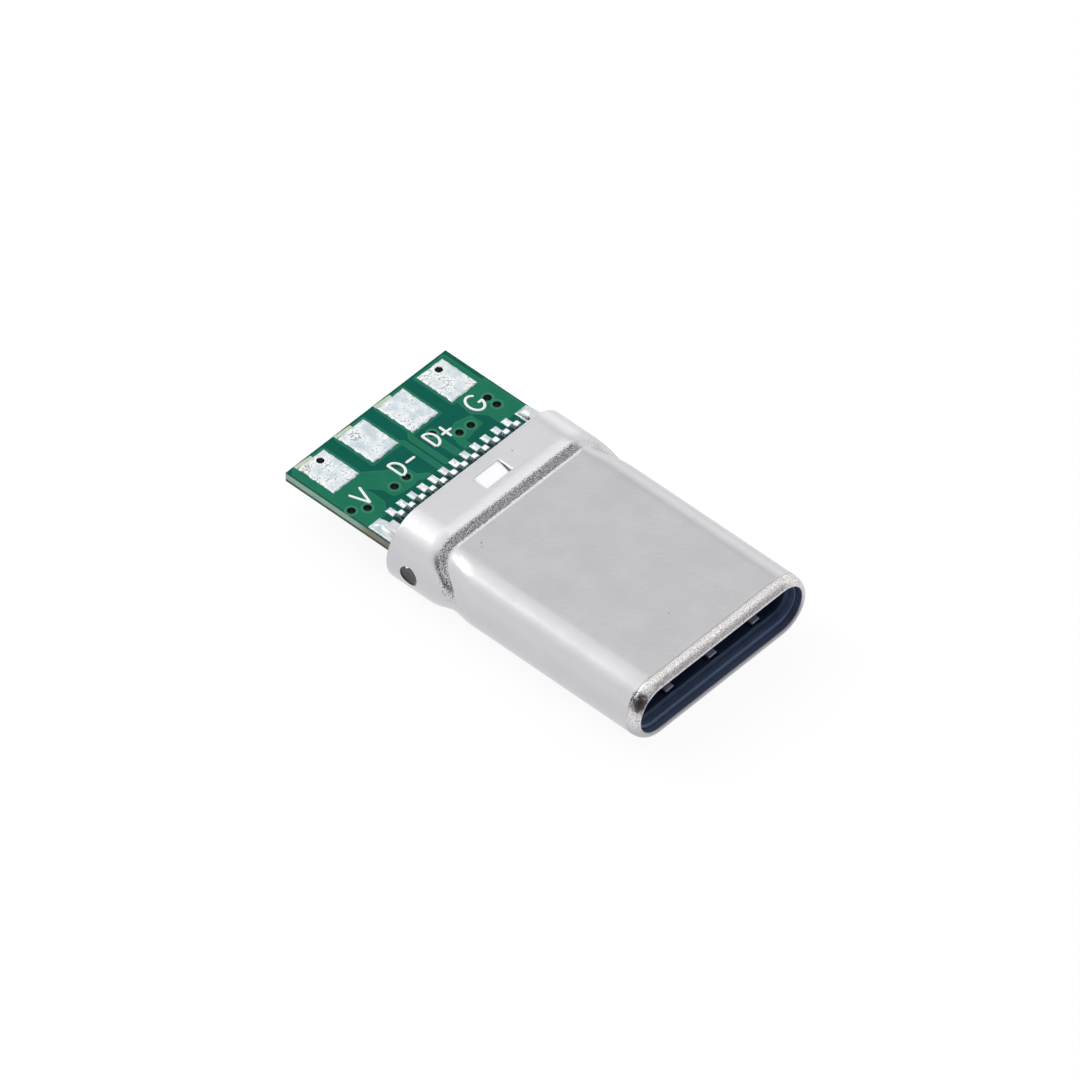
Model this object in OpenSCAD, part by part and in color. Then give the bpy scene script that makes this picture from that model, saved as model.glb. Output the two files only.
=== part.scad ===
// Reversible cable plug soldered to a small breakout board with four wire pads.
// +Z is up, the mouth of the plug faces -Y and the board lies behind it along +Y.
// The origin is under the middle of the whole part, on the surface it lies on.

/* [Shell] */
// Outer width of the nose that enters the socket
nose_w = 8.25; // [8.1:0.05:8.6]
// Outer height of the nose
nose_h = 2.4; // [2.3:0.05:2.6]
// Length of the nose from its lip to the start of the step
nose_len = 9; // [8.6:0.05:10]
// Wall thickness of the drawn shell
shell_wall = 0.28; // [0.2:0.01:0.3]
// Outer radius of the lip round the mouth
lip_r = 0.4; // [0.3:0.02:0.5]
// Length over which the nose swells into the collar
step_len = 0.55; // [0.4:0.05:0.8]
// Outer width of the collar behind the step
collar_w = 8.4; // [8.35:0.05:8.8]
// Outer height of the collar
collar_h = 2.95; // [2.8:0.05:3.2]
// Length of the collar behind the step
collar_len = 1.45; // [1.3:0.05:1.8]

/* [Shell Openings] */
// Width of the window in the top of the collar
window_w = 1.2; // [0.9:0.05:1.5]
// Length of the window along the plug
window_l = 0.58; // [0.4:0.02:0.7]
// Distance from the rear edge of the collar to the middle of the window
window_inset = 0.83; // [0.6:0.01:0.9]
// How far the free front of the window's tab is pressed in
tab_drop = 0.14; // [0.08:0.01:0.18]
// Thickness of the tab in the window
tab_t = 0.12; // [0.08:0.01:0.16]
// Width of the slit along the three free sides of the tab
tab_slit = 0.06; // [0.04:0.01:0.1]
// Diameter of the round hole in each end of the collar
side_hole_d = 0.75; // [0.5:0.05:0.9]
// Distance from the rear edge of the collar to the middle of the side holes
side_hole_inset = 1.0; // [0.8:0.05:1.1]

/* [Housing] */
// Distance from the lip to the front face of the housing
housing_recess = 0.3; // [0.2:0.05:0.45]
// Length of the moulded housing
housing_len = 8.2; // [7.6:0.05:8.4]
// Clearance between the housing and the shell
housing_gap = 0.02; // [0.01:0.005:0.04]
// Wall of the housing above and below the slot
housing_wall = 0.32; // [0.28:0.01:0.36]
// Wall of the housing at the two ends of the slot
housing_end_wall = 0.18; // [0.12:0.01:0.24]
// Depth of the ledge round the front of the slot
ledge_depth = 0.3; // [0.2:0.05:0.4]
// Width of that ledge
ledge_w = 0.12; // [0.06:0.01:0.16]

/* [Contacts] */
// Distance between neighbouring contacts
contact_pitch = 0.5; // [0.46:0.01:0.52]
// Width of a contact strip
contact_w = 0.2; // [0.16:0.01:0.24]
// Thickness of a contact strip
contact_t = 0.15; // [0.12:0.01:0.16]
// Gap between the two contact rows at their bumps
contact_mouth = 0.66; // [0.6:0.02:0.7]
// Distance from the lip to the tips of the contacts
contact_tip_inset = 1.9; // [1.85:0.05:2.2]
// Length of the springing beam of a contact
contact_beam_len = 2.3; // [1.8:0.1:2.8]
// Length of a contact tail outside the collar
tail_out = 0.78; // [0.6:0.02:0.9]
// Clearance between a strip and the plastic round it
strip_gap = 0.02; // [0.01:0.005:0.03]
// Inside radius of the bends in the strips
strip_bend_r = 0.12; // [0.08:0.01:0.16]

/* [Contact Carriers] */
// Distance from the rear edge of the collar to the back of the carriers
carrier_inset = 1.1; // [0.95:0.05:1.2]
// How far the carriers reach forward into the housing
carrier_reach = 2.2; // [1.6:0.1:2.6]
// Plastic beside the outermost contacts
carrier_margin = 0.16; // [0.12:0.01:0.2]

/* [Latch Plate] */
// Thickness of the plate between the two rows
latch_t = 0.2; // [0.14:0.01:0.22]
// Distance from the lip to the tips of the side arms
arm_tip_inset = 1.4; // [1.1:0.05:1.8]
// Width of each side arm
arm_w = 0.25; // [0.2:0.01:0.3]
// Clearance between an arm and the end of the slot
arm_gap = 0.07; // [0.04:0.01:0.1]
// How far the hook of an arm reaches inwards
hook_w = 0.22; // [0.15:0.01:0.3]
// Length of the hook
hook_l = 0.6; // [0.4:0.05:0.8]
// Width of each solder leg, where the collar leaves room for it
leg_w = 0.38; // [0.3:0.02:0.44]
// Length of a solder leg outside the collar
leg_out = 0.6; // [0.4:0.05:0.8]
// Clearance between a leg and the inside of the collar
leg_gap = 0.06; // [0.04:0.01:0.1]

/* [Shield Springs] */
// Width of each shield spring
spring_w = 5.2; // [4.8:0.1:5.6]
// Length of the plate of each shield spring
spring_l = 3.4; // [2.8:0.1:4]
// Sheet thickness of the shield springs
spring_t = 0.12; // [0.08:0.01:0.14]
// Distance from the lip to the finger tips
finger_tip_inset = 0.72; // [0.64:0.02:0.9]
// Length of a finger
finger_l = 1.9; // [1.5:0.1:2.2]
// Width of a finger
finger_w = 0.36; // [0.28:0.02:0.44]
// Distance between neighbouring fingers
finger_pitch = 2.05; // [1.8:0.05:2.2]
// How far the fingers lie off the middle, to the other side on the other spring
finger_shift = 0.3; // [0:0.05:0.4]

/* [Board] */
// Thickness of the board
board_t = 0.4; // [0.36:0.02:0.44]
// Height of the board's upper face above the axis of the plug
board_rise = 0.42; // [0.36:0.02:0.46]
// Clearance between the board's sides and the collar
board_side_gap = 0.04; // [0.02:0.01:0.08]
// Length of the board behind the collar
board_out = 4.85; // [4.4:0.05:5.4]
// Length of the board inside the collar
board_in = 0.45; // [0.3:0.05:0.5]
// Diameter of the plated through holes
via_d = 0.24; // [0.2:0.02:0.3]
// Thickness of the tinned copper pads
pad_t = 0.03; // [0.02:0.005:0.05]
// Thickness of solder under a tail or a leg
solder_t = 0.12; // [0.08:0.01:0.15]

/* [Wire Pads] */
// Width of a wire pad
wire_pad_w = 1.22; // [1:0.02:1.4]
// Length of a wire pad
wire_pad_l = 1.6; // [1.2:0.05:1.8]
// Distance between neighbouring wire pads
wire_pad_pitch = 1.88; // [1.7:0.02:1.95]
// Bare board between the wire pads and the rear edge
wire_pad_margin = 0.2; // [0.12:0.02:0.4]
// Thickness of the tinned coat on a wire pad
wire_pad_t = 0.05; // [0.03:0.01:0.08]
// Diameter of the hole in the two outer wire pads
wire_hole_d = 0.28; // [0.2:0.02:0.36]
// Distance from the right side of such a pad to the middle of its hole
wire_hole_side = 0.464; // [0.3:0.002:0.9]
// Distance from the rear of such a pad to the middle of its hole
wire_hole_rear = 0.288; // [0.2:0.002:0.5]

/* [Contact Pads] */
// Width of a contact pad
contact_pad_w = 0.3; // [0.26:0.01:0.34]
// How far a contact pad runs on past the end of its tail
contact_pad_past = 0.5; // [0.4:0.02:0.6]
// Width of each side ground pad, where the board leaves room for it
ground_pad_w = 0.56; // [0.5:0.02:0.6]
// How far a ground pad runs on past the end of its leg
ground_pad_past = 0.6; // [0.4:0.05:0.7]
// Height of a solder fillet on a ground leg
fillet_h = 0.42; // [0.38:0.01:0.5]

/* [Resistor] */
// Length of the chip resistor under the board
resistor_l = 1; // [0.8:0.05:1.2]
// Width of the chip resistor
resistor_w = 0.5; // [0.4:0.02:0.6]
// Height of the chip resistor
resistor_h = 0.35; // [0.25:0.01:0.4]
// Length of each metal end cap of the resistor
resistor_cap = 0.22; // [0.16:0.02:0.3]
// Distance from the rear edge of the collar to the middle of the resistor
resistor_out = 2.4; // [2:0.1:3]
// Place of the resistor across the board
resistor_x = -0.6; // [-1:0.1:1]

/* [Hidden] */
$fn = 64;
contact_count = 12;

// Stations along the plug, from the lip to the rear edge of the board
shell_len = nose_len + step_len + collar_len;
lip_round = lip_r - sqrt(pow(lip_r, 2) - pow(lip_r - shell_wall, 2));
lip_y = -(shell_len + board_out + lip_round)/2;
step_y = lip_y + nose_len;
collar_y = step_y + step_len;
shell_back_y = collar_y + collar_len;
board_back_y = shell_back_y + board_out;
board_front_y = shell_back_y - board_in;
axis_z = collar_h/2;

// The step is drawn in slices, each a stadium between the nose and the collar
step_slices = 3;
sliver = 0.002;
overcut = 0.05;
hull_fn = 32;
hole_fn = 24;

// The housing follows the inside of the nose
housing_w = nose_w - 2*shell_wall - 2*housing_gap;
housing_h = nose_h - 2*shell_wall - 2*housing_gap;
housing_front_y = lip_y + housing_recess;
housing_back_y = housing_front_y + housing_len;
slot_w = housing_w - 2*housing_end_wall;
slot_h = housing_h - 2*housing_wall;

// What lies behind the housing passes through both the nose and the collar
passage_w = min(nose_w, collar_w) - 2*shell_wall - 2*housing_gap;

// The contact rows, measured from the axis of the plug
row_w = (contact_count - 1)*contact_pitch;
row_edge = (row_w + contact_w)/2;
beam_z = slot_h/2 - strip_gap - contact_t/2;
bump_z = contact_mouth/2 + contact_t/2;
tip_lift = 0.06;
tip_l = 0.35;
contact_tip_y = lip_y + contact_tip_inset;
beam_back_y = contact_tip_y + contact_beam_len;
tail_end_y = shell_back_y + tail_out;
board_low = board_rise - board_t;
upper_tail_z = board_rise + pad_t + solder_t + contact_t/2;
lower_tail_z = board_low - pad_t - solder_t - contact_t/2;
bend_steps = 4;

// The carriers hold the rear of the contacts and leave room for the latch plate
carrier_back_y = shell_back_y - carrier_inset;
carrier_front_y = housing_back_y - carrier_reach;
carrier_w = 2*(row_edge + carrier_margin);
plate_gap = latch_t/2 + strip_gap;
seat_gap = 0.02;

// The collar and the board that fills it at the height of its upper face
collar_core = (collar_w - collar_h)/2;
collar_in_r = collar_h/2 - shell_wall;
function collar_room(z) = collar_core + sqrt(pow(collar_in_r, 2) - pow(z, 2));
board_w = 2*(collar_room(board_rise) - board_side_gap);
board_l = board_back_y - board_front_y;

// The latch plate lies on the axis, with its arms in the ends of the slot
arm_x = slot_w/2 - arm_gap;
rear_x = min(arm_x, passage_w/2 - arm_gap);
arm_tip_y = lip_y + arm_tip_inset;
plate_front_y = carrier_front_y;
plate_back_y = carrier_back_y;

// Its legs stand between the ends of the contact rows and the collar
leg_clear = 0.05;
leg_rise_y = (carrier_back_y + board_front_y)/2;
leg_z = board_rise + pad_t + solder_t + latch_t/2;
leg_end_y = shell_back_y + leg_out;
leg_edge = collar_room(leg_z + latch_t/2) - leg_gap;
leg_width = min(leg_w, leg_edge - row_edge - leg_clear);
leg_x = leg_edge - leg_width/2;

// The shield springs lie flush in the housing, with fingers bent into the slot
spring_z = housing_h/2 - spring_t/2;
finger_tip_y = lip_y + finger_tip_inset;
finger_root_y = finger_tip_y + finger_l;
finger_z = contact_mouth/2 + spring_t/2 + tip_lift;
finger_tip_l = 0.3;

// Wire pads along the rear of the board, with a hole in the two outer ones
wire_pad_y = board_back_y - wire_pad_margin - wire_pad_l/2;
wire_pad_x = [for (i = [-1.5 : 1 : 1.5]) i*wire_pad_pitch];
wire_hole_shift = [wire_pad_w/2 - wire_hole_side, wire_pad_l/2 - wire_hole_rear];
wire_hole_pads = [0, 3];

// Contact pads and ground pads along the front of the board
pad_edge = 0.1;
contact_pad_front_y = board_front_y + pad_edge;
contact_pad_end_y = tail_end_y + contact_pad_past;
fillet_l = contact_pad_past/2;
ground_pad_end_y = leg_end_y + ground_pad_past;
ground_pad_edge = 0.04;
pad_row_edge = (row_w + contact_pad_w)/2;
ground_w = min(ground_pad_w, board_w/2 - ground_pad_edge - pad_row_edge - pad_edge);
ground_pad_x = board_w/2 - ground_pad_edge - ground_w/2;

// Plated holes: place from the side or from the middle, and distance behind the collar
left_vias = [[0.205, 2.1], [0.655, 1.8]];
middle_vias = [[-1.85, 1.82], [-1.27, 1.83], [0.72, 2.55], [1.37, 1.94], [1.87, 1.9]];
right_vias = [[0.655, 2.35], [0.665, 1.92]];
via_places = concat(
    [for (via = left_vias) [via[0] - board_w/2, via[1]]],
    middle_vias,
    [for (via = right_vias) [board_w/2 - via[0], via[1]]]
);

// Chip resistor on the lower face
cap_over = 0.02;
resistor_y = shell_back_y + resistor_out;
resistor_pad_past = 0.12;
resistor_pad_l = resistor_cap + resistor_pad_past;

function unit(v) = v/norm(v);
function turned(v) = [-v[1], v[0]];
function folded(a) = a > 180 ? a - 360 : (a < -180 ? a + 360 : a);

// Points round a bend of radius r at corner b, between a and c
function bend(a, b, c, r) = let(
    u = unit(a - b),
    w = unit(c - b),
    opening = acos(u*w),
    reach = r/tan(opening/2),
    centre = b + unit(u + w)*r/sin(opening/2),
    p = b + u*reach - centre,
    q = b + w*reach - centre,
    start = atan2(p[1], p[0]),
    sweep = folded(atan2(q[1], q[0]) - start)
) [for (k = [0 : bend_steps]) let(turn = start + sweep*k/bend_steps) centre + r*[cos(turn), sin(turn)]];

// The middle line of a bent strip through its corner points
function bent_line(p, r) = concat(
    [p[0]],
    [for (i = [1 : len(p) - 2]) each bend(p[i - 1], p[i], p[i + 1], r)],
    [p[len(p) - 1]]
);

// That line moved sideways by d
function moved_line(p, d) = let(n = len(p)) [for (i = [0 : n - 1]) let(
    before = turned(unit(p[max(i, 1)] - p[max(i, 1) - 1])),
    after = turned(unit(p[min(i + 1, n - 1)] - p[min(i, n - 2)]))
) p[i] + d*(before + after)/(1 + before*after)];

function strip_outline(p, t) = let(
    line = bent_line(p, strip_bend_r + t/2),
    back = moved_line(line, -t/2)
) concat(moved_line(line, t/2), [for (i = [len(back) - 1 : -1 : 0]) back[i]]);

// Stadium: a flat band with full round ends
module stadium(w, h, fn = $fn) {
    square([w - h, h], center = true);
    for (side = [-1, 1])
        translate([side*(w - h)/2, 0]) circle(d = h, $fn = fn);
}

// A section drawn across the plug, carried back from station y
module along_plug(y, l) {
    translate([0, y, axis_z]) rotate([-90, 0, 0]) linear_extrude(l) children();
}

// A profile of length along Y and height along Z, carried across X
module across(w) {
    rotate([90, 0, 90]) linear_extrude(w, center = true) children();
}

// A bent strip of sheet metal through corner points [y, z] above the axis
module strip(points, t, w, x) {
    translate([x, 0, axis_z]) across(w) polygon(strip_outline(points, t));
}

// A wall profile swept round a stadium: two half turns and two straight runs
module swept_round(core) {
    rotate([-90, 0, 0]) for (turn = [0, 180]) rotate([0, 0, turn]) {
        translate([core, 0, 0]) rotate([0, 0, -90]) rotate_extrude(angle = 180) children();
        translate([-core, 0, 0]) rotate([90, 0, 90]) linear_extrude(2*core) children();
    }
}

// Wall of the nose with its rolled lip, lapping the first slice of the step
module nose_profile() {
    difference() {
        translate([nose_h/2 - shell_wall, 0]) square([shell_wall, nose_len + sliver]);
        translate([nose_h/2 - lip_r, lip_r]) difference() {
            translate([0, -2*lip_r]) square(2*lip_r);
            circle(lip_r);
        }
    }
}

// Slice i of the step, from the nose at 0 on to the collar; past moves the end ones outwards
module step_slice(i, inset, past) {
    share = i/step_slices;
    ease = share*share*(3 - 2*share);
    w = nose_w + ease*(collar_w - nose_w) - 2*inset;
    h = nose_h + ease*(collar_h - nose_h) - 2*inset;
    run_out = i == 0 ? -past : (i == step_slices ? past : 0);
    along_plug(step_y + share*(step_len - sliver) + run_out, sliver) stadium(w, h, hull_fn);
}

// The swelling of the step, as a solid whose stretches share the slices between them
module step_body(inset, past) {
    for (i = [0 : step_slices - 1]) hull() {
        step_slice(i, inset, past);
        step_slice(i + 1, inset, past);
    }
}

module collar_window() {
    translate([0, shell_back_y - window_inset, axis_z + collar_h/2])
        cube([window_w, window_l, 4*shell_wall], center = true);
}

module side_holes() {
    translate([0, shell_back_y - side_hole_inset, axis_z])
        rotate([0, 90, 0]) cylinder(d = side_hole_d, h = 2*collar_w, center = true);
}

// The tab that fills the window, joined along its rear and pressed in at its front
module window_tab() {
    top = axis_z + collar_h/2;
    hinge_y = shell_back_y - window_inset + window_l/2;
    free_y = hinge_y - window_l + tab_slit;
    across(window_w - 2*tab_slit) polygon([
        [hinge_y + overcut, top - tab_t],
        [hinge_y, top - tab_t],
        [free_y, top - tab_t - tab_drop],
        [free_y, top - tab_drop],
        [hinge_y, top],
        [hinge_y + overcut, top]
    ]);
}

module plug_shell() {
    color("gainsboro") {
        difference() {
            union() {
                translate([0, lip_y, axis_z]) swept_round((nose_w - nose_h)/2) nose_profile();
                difference() {
                    step_body(0, 0);
                    step_body(shell_wall, overcut);
                }
                along_plug(collar_y - sliver, collar_len + sliver) difference() {
                    stadium(collar_w, collar_h);
                    stadium(collar_w - 2*shell_wall, collar_h - 2*shell_wall);
                }
            }
            collar_window();
            side_holes();
        }
        window_tab();
    }
}

function finger_x(i, side) = i*finger_pitch - side*finger_shift;

// Recess for the plate of one shield spring and the windows for its fingers
module spring_room(side) {
    room = [spring_w, spring_l, spring_t] + 2*seat_gap*[1, 1, 1];
    translate([0, 0, axis_z]) {
        translate([0, finger_root_y + spring_l/2, side*(spring_z + overcut/2)])
            cube(room + [0, 0, overcut], center = true);
        for (i = [-1 : 1])
            translate([finger_x(i, side), (finger_tip_y + finger_root_y)/2, side*(housing_h + slot_h)/4])
                cube([finger_w + 4*seat_gap, finger_l + 4*seat_gap, 2*housing_wall], center = true);
    }
}

module plug_housing() {
    color("midnightblue") difference() {
        along_plug(housing_front_y, housing_len) stadium(housing_w, housing_h);
        along_plug(housing_front_y - overcut, housing_len + 2*overcut) stadium(slot_w, slot_h);
        along_plug(housing_front_y - overcut, ledge_depth + overcut)
            stadium(slot_w + 2*ledge_w, slot_h + 2*ledge_w);
        for (side = [-1, 1]) spring_room(side);
    }
}

module shield_spring(side) {
    color("silver") {
        translate([0, finger_root_y + spring_l/2, axis_z + side*spring_z])
            cube([spring_w, spring_l, spring_t], center = true);
        for (i = [-1 : 1])
            strip([
                [finger_root_y + finger_w, side*spring_z],
                [finger_root_y - finger_w, side*spring_z],
                [finger_tip_y + finger_tip_l, side*finger_z],
                [finger_tip_y, side*(finger_z + tip_lift)]
            ], spring_t, finger_w, finger_x(i, side));
    }
}

module upper_shield_spring() { shield_spring(1); }
module lower_shield_spring() { shield_spring(-1); }

// Solder leg of the latch plate: up in front of the board, then back along it
module latch_leg(side) {
    strip([
        [plate_back_y - leg_w, 0],
        [leg_rise_y, 0],
        [leg_rise_y, leg_z],
        [leg_end_y, leg_z]
    ], latch_t, leg_width, side*leg_x);
}

// A stretch of the latch plate from station a to station b, with half-width x
module plate_band(x, a, b) {
    translate([-x, a]) square([2*x, b - a]);
}

// The plate: a tongue in the carriers, a yoke for the arms, a neck and a foot for the legs
module latch_plate() {
    color("lightsteelblue") {
        translate([0, 0, axis_z - latch_t/2]) linear_extrude(latch_t) {
            plate_band(carrier_w/2, plate_front_y, plate_back_y);
            plate_band(arm_x, housing_back_y - 2*arm_w, housing_back_y);
            plate_band(rear_x, housing_back_y - arm_w, plate_back_y);
            plate_band(leg_edge, collar_y + seat_gap, plate_back_y);
            for (side = [-1, 1]) scale([side, 1]) {
                translate([arm_x - arm_w, arm_tip_y]) square([arm_w, housing_back_y - arm_tip_y]);
                translate([arm_x - arm_w, arm_tip_y]) polygon([
                    [0, 0], [0, hook_l], [-hook_w, hook_l/2], [-hook_w, hook_l/4]
                ]);
            }
        }
        for (side = [-1, 1]) latch_leg(side);
    }
}

// Half of the carrier section: the upper half for side 1, the lower for -1
module carrier_half(w, h, side) {
    intersection() {
        stadium(w, h);
        translate([0, -side*(plate_gap + h)]) square([w, 2*h], center = true);
    }
}

module contact_carrier(side, places) {
    front_h = slot_h - 2*seat_gap;
    color("darkslategray") difference() {
        union() {
            along_plug(carrier_front_y, housing_back_y + seat_gap - carrier_front_y)
                intersection() {
                    carrier_half(slot_w, front_h, side);
                    square([carrier_w, 2*front_h], center = true);
                }
            along_plug(housing_back_y + seat_gap, carrier_back_y - housing_back_y - seat_gap)
                carrier_half(passage_w, housing_h, side);
        }
        for (i = places)
            translate([contact_x(i), (carrier_front_y + carrier_back_y)/2, axis_z + side*beam_z])
                cube([
                    contact_w + 2*strip_gap,
                    carrier_back_y - carrier_front_y + 2*overcut,
                    contact_t + 2*strip_gap
                ], center = true);
    }
}

function contact_x(i) = -row_w/2 + (i - 1)*contact_pitch;
upper_places = [1 : contact_count];
lower_places = [for (i = [1 : contact_count]) if (i < 6 || i > 7) i];

module upper_carrier() { contact_carrier(1, upper_places); }
module lower_carrier() { contact_carrier(-1, lower_places); }

// One contact: lead-in tip, bump, springing beam, straight root and solder tail
module contact(i, side, tail_z) {
    color("gold") strip([
        [contact_tip_y, side*(bump_z + tip_lift)],
        [contact_tip_y + tip_l, side*bump_z],
        [beam_back_y, side*beam_z],
        [carrier_back_y + strip_bend_r, side*beam_z],
        [board_front_y + contact_t, tail_z],
        [tail_end_y, tail_z]
    ], contact_t, contact_w, contact_x(i));
}

module upper_contact(i) { contact(i, 1, upper_tail_z); }
module lower_contact(i) { contact(i, -1, lower_tail_z); }

// Holes through the board: plated holes and those of the two outer wire pads
module board_holes() {
    for (place = via_places)
        translate([place[0], shell_back_y + place[1], axis_z + board_low - overcut])
            cylinder(d = via_d, h = board_t + 2*overcut, $fn = hole_fn);
    for (i = wire_hole_pads) wire_hole(i);
}

module wire_hole(i) {
    place = [wire_pad_x[i], wire_pad_y] + wire_hole_shift;
    translate([place[0], place[1], axis_z + board_low - overcut])
        cylinder(d = wire_hole_d, h = board_t + wire_pad_t + 2*overcut, $fn = hole_fn);
}

module circuit_board() {
    color("seagreen") difference() {
        translate([-board_w/2, board_front_y, axis_z + board_low]) cube([board_w, board_l, board_t]);
        board_holes();
    }
}

module wire_pad(i) {
    color("whitesmoke") difference() {
        translate([wire_pad_x[i] - wire_pad_w/2, wire_pad_y - wire_pad_l/2, axis_z + board_rise])
            cube([wire_pad_w, wire_pad_l, wire_pad_t]);
        for (hole = wire_hole_pads) wire_hole(hole);
    }
}

module wire_pad_v() { wire_pad(0); }
module wire_pad_d_minus() { wire_pad(1); }
module wire_pad_d_plus() { wire_pad(2); }
module wire_pad_g() { wire_pad(3); }

module contact_pads(places, z) {
    color("whitesmoke") for (i = places)
        translate([contact_x(i) - contact_pad_w/2, contact_pad_front_y, axis_z + z])
            cube([contact_pad_w, contact_pad_end_y - contact_pad_front_y, pad_t]);
}

module upper_contact_pads() { contact_pads(upper_places, board_rise); }
module lower_contact_pads() { contact_pads(lower_places, board_low - pad_t); }

module ground_pad(side) {
    color("whitesmoke")
        translate([side*ground_pad_x - ground_w/2, contact_pad_front_y, axis_z + board_rise])
            cube([ground_w, ground_pad_end_y - contact_pad_front_y, pad_t]);
}

module left_ground_pad() { ground_pad(-1); }
module right_ground_pad() { ground_pad(1); }

// Solder under each tail, drawn out into a fillet behind its end
module solder_joints(places, z, side) {
    color("whitesmoke") for (i = places)
        translate([contact_x(i), 0, axis_z + z]) across(contact_w + 2*strip_gap) polygon([
            [board_front_y + 2*contact_t, 0],
            [tail_end_y + fillet_l, 0],
            [tail_end_y, side*solder_t],
            [board_front_y + 2*contact_t, side*solder_t]
        ]);
}

module upper_solder_joints() { solder_joints(upper_places, board_rise + pad_t, 1); }
module lower_solder_joints() { solder_joints(lower_places, board_low - pad_t, -1); }

// Rounded solder over the end of a ground leg, with the leg itself left free
module ground_solder(side) {
    front_y = shell_back_y + ground_pad_edge;
    half_l = (ground_pad_end_y - ground_pad_edge - front_y)/2;
    dome_r = (half_l*half_l + fillet_h*fillet_h)/(2*fillet_h);
    color("whitesmoke") difference() {
        translate([side*ground_pad_x, front_y + half_l, axis_z + board_rise + pad_t])
            across(ground_w - 2*ground_pad_edge) intersection() {
                translate([0, fillet_h - dome_r]) circle(dome_r);
                translate([-dome_r, 0]) square([2*dome_r, fillet_h]);
            }
        latch_leg(side);
    }
}

module left_ground_solder() { ground_solder(-1); }
module right_ground_solder() { ground_solder(1); }

// Chip resistor on the lower face, with its two metal end caps
module resistor() {
    body_l = resistor_l - 2*resistor_cap;
    top_z = axis_z + board_low - pad_t;
    translate([resistor_x, resistor_y, top_z - resistor_h/2]) {
        color("black")
            cube([body_l, resistor_w - 2*cap_over, resistor_h - 2*cap_over], center = true);
        color("silver") for (side = [-1, 1])
            translate([side*(resistor_l - resistor_cap)/2, 0, 0])
                cube([resistor_cap, resistor_w, resistor_h], center = true);
    }
}

module resistor_pads() {
    translate([resistor_x, resistor_y, axis_z + board_low - pad_t/2])
        color("whitesmoke") for (side = [-1, 1])
            translate([side*(resistor_l - resistor_cap)/2, 0, 0])
                cube([resistor_pad_l, resistor_w, pad_t], center = true);
}

plug_shell();
plug_housing();
upper_shield_spring();
lower_shield_spring();
latch_plate();
upper_carrier();
lower_carrier();
upper_contact(1);  // upper_contact_01
upper_contact(2);  // upper_contact_02
upper_contact(3);  // upper_contact_03
upper_contact(4);  // upper_contact_04
upper_contact(5);  // upper_contact_05
upper_contact(6);  // upper_contact_06
upper_contact(7);  // upper_contact_07
upper_contact(8);  // upper_contact_08
upper_contact(9);  // upper_contact_09
upper_contact(10);  // upper_contact_10
upper_contact(11);  // upper_contact_11
upper_contact(12);  // upper_contact_12
lower_contact(1);  // lower_contact_01
lower_contact(2);  // lower_contact_02
lower_contact(3);  // lower_contact_03
lower_contact(4);  // lower_contact_04
lower_contact(5);  // lower_contact_05
lower_contact(8);  // lower_contact_08
lower_contact(9);  // lower_contact_09
lower_contact(10);  // lower_contact_10
lower_contact(11);  // lower_contact_11
lower_contact(12);  // lower_contact_12
circuit_board();
wire_pad_v();
wire_pad_d_minus();
wire_pad_d_plus();
wire_pad_g();
upper_contact_pads();
lower_contact_pads();
left_ground_pad();
right_ground_pad();
upper_solder_joints();
lower_solder_joints();
left_ground_solder();
right_ground_solder();
resistor();
resistor_pads();
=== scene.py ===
import math

import bpy
import numpy as np
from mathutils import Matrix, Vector, noise


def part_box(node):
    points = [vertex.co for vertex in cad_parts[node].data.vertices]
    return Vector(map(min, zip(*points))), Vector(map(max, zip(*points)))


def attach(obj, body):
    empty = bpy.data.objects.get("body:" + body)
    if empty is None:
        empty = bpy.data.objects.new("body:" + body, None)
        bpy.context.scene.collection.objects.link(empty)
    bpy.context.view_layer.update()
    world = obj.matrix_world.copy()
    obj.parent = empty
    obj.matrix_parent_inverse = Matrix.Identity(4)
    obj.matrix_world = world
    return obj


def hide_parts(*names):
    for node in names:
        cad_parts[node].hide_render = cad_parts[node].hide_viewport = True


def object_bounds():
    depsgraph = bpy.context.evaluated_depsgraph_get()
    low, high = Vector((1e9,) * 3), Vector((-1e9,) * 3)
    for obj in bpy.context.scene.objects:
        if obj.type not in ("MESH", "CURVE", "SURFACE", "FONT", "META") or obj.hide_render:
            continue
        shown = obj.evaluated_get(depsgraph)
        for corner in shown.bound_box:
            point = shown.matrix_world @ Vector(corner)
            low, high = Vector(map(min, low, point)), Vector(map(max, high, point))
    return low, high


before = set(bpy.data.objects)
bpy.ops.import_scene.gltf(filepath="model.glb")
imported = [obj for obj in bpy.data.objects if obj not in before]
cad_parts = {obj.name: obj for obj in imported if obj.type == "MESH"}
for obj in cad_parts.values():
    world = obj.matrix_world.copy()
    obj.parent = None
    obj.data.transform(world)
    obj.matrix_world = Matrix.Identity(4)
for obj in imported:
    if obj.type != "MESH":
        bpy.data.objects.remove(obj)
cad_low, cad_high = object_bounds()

# Insulator: one dark moulding that lines the nose and leaves a slot for the tongue of the
# socket. It is moulded with a ledge round the mouth of the slot and is pushed into the
# shell from behind, so that only its navy front and slot show.
MM = 0.001


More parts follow.
